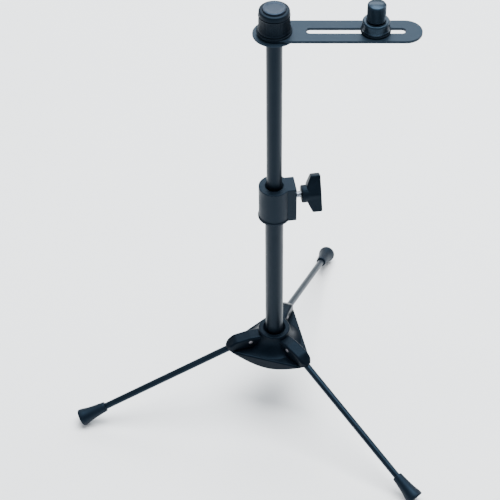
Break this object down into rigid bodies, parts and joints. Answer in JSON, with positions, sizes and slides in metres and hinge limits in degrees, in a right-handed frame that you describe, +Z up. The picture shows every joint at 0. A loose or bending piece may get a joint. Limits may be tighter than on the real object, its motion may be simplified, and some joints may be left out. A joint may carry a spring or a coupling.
{
  "type": "small folding tabletop stand",
  "caption": "Small black folding tabletop stand: folding rod legs with rubber feet, telescoping post with wing screw, and a slotted top bar with a threaded spigot.",
  "frame": {"origin": "post axis at the level the feet stand on", "axes": "+Z up along the post, +X along the slotted bar away from the post"},
  "size_m": [0.3381, 0.3442, 0.4799],
  "materials": {
    "hub_plastic": "moulded, fine grain",
    "tube_paint": "satin black powder coat",
    "bar_paint": "satin black powder coat",
    "leg_paint": "satin black paint on rod",
    "knob_plastic": "moulded, satin",
    "cap_plastic": "moulded, satin",
    "foot_rubber": "matte",
    "washer_rubber": "matte",
    "black_steel": "black oxide",
    "bright_steel": "zinc plated",
    "nylon": "natural nylon"
  },
  "bodies": {
    "base": {"hub": "hub_plastic", "hub_screw": "bright_steel", "hub_washer": "bright_steel", "lower_tube": "tube_paint", "tube_end_plug": "bright_steel", "collar": "hub_plastic", "clamp_nut": "bright_steel", "leg_pin_left": "bright_steel", "leg_pin_front": "bright_steel", "leg_pin_back": "bright_steel"},
    "leg_left": {"leg_rod_left": "leg_paint", "foot_left": "foot_rubber"},
    "leg_front": {"leg_rod_front": "leg_paint", "foot_front": "foot_rubber"},
    "leg_back": {"leg_rod_back": "leg_paint", "foot_back": "foot_rubber"},
    "pad": {"pressure_pad": "nylon"},
    "wing_screw": {"clamp_stud": "bright_steel", "wing_knob": "knob_plastic"},
    "glide": {"glide_plug": "nylon"},
    "rod": {"upper_rod": "tube_paint", "rod_top_plug": "bright_steel", "head_stud": "bright_steel", "support_disc": "bar_paint"},
    "bar": {"slotted_bar": "bar_paint"},
    "knob_washer": {"knob_washer": "washer_rubber"},
    "knob": {"top_knob": "knob_plastic", "knob_insert": "bright_steel", "knob_cap": "cap_plastic"},
    "carriage": {"slot_bolt": "bright_steel", "under_washer": "washer_rubber"},
    "base_washer": {"base_washer": "washer_rubber"},
    "spigot": {"spigot": "black_steel", "spigot_ring": "black_steel"}
  },
  "joints": [
    {"name": "leg_fold_left", "type": "hinge", "parent": "base", "child": "leg_left", "pos_m": [-0.02436, -0.00562, 0.08349], "axis": [0.225, -0.9744, 0], "range_deg": [0, 66.3]},
    {"name": "leg_fold_front", "type": "hinge", "parent": "base", "child": "leg_front", "pos_m": [0.01705, -0.01828, 0.08349], "axis": [0.7314, 0.682, 0], "range_deg": [0, 66.3]},
    {"name": "leg_fold_back", "type": "hinge", "parent": "base", "child": "leg_back", "pos_m": [0.00731, 0.02391, 0.08349], "axis": [-0.9563, 0.2924, 0], "range_deg": [0, 66.3]},
    {"name": "clamp_travel", "type": "slide", "parent": "base", "child": "pad", "axis": [0.9877, 0.1564, 0], "range_m": [0, 0.002]},
    {"name": "clamp_turn", "type": "hinge", "parent": "pad", "child": "wing_screw", "pos_m": [0.01906, 0.00302, 0.26649], "axis": [0.9877, 0.1564, 0], "range_deg": [0, 720]},
    {"name": "post_slide", "type": "slide", "parent": "base", "child": "glide", "axis": [0, 0, 1], "range_m": [-0.142, 0.024]},
    {"name": "post_turn", "type": "hinge", "parent": "glide", "child": "rod", "pos_m": [0, 0, 0.44949], "axis": [0, 0, 1], "continuous": true},
    {"name": "bar_swivel", "type": "hinge", "parent": "rod", "child": "bar", "pos_m": [0, 0, 0.45079], "axis": [0, 0, 1], "continuous": true},
    {"name": "knob_lift", "type": "slide", "parent": "rod", "child": "knob_washer", "axis": [0, 0, 1], "range_m": [0, 0.0025]},
    {"name": "knob_turn", "type": "hinge", "parent": "knob_washer", "child": "knob", "pos_m": [0, 0, 0.45309], "axis": [0, 0, 1], "range_deg": [0, 720]},
    {"name": "fitting_slide", "type": "slide", "parent": "bar", "child": "carriage", "axis": [1, 0, 0], "range_m": [-0.0517, 0.0192]},
    {"name": "spigot_lift", "type": "slide", "parent": "carriage", "child": "base_washer", "axis": [0, 0, 1], "range_m": [0, 0.002]},
    {"name": "spigot_turn", "type": "hinge", "parent": "base_washer", "child": "spigot", "pos_m": [0.084, 0, 0.45519], "axis": [0, 0, 1], "range_deg": [0, 720]}
  ],
  "couplings": [
    {"joint": "clamp_turn", "follows": "clamp_travel", "rad_per_m": 6283.2},
    {"joint": "knob_turn", "follows": "knob_lift", "rad_per_m": 5026.5},
    {"joint": "spigot_turn", "follows": "spigot_lift", "rad_per_m": 6283.2}
  ]
}
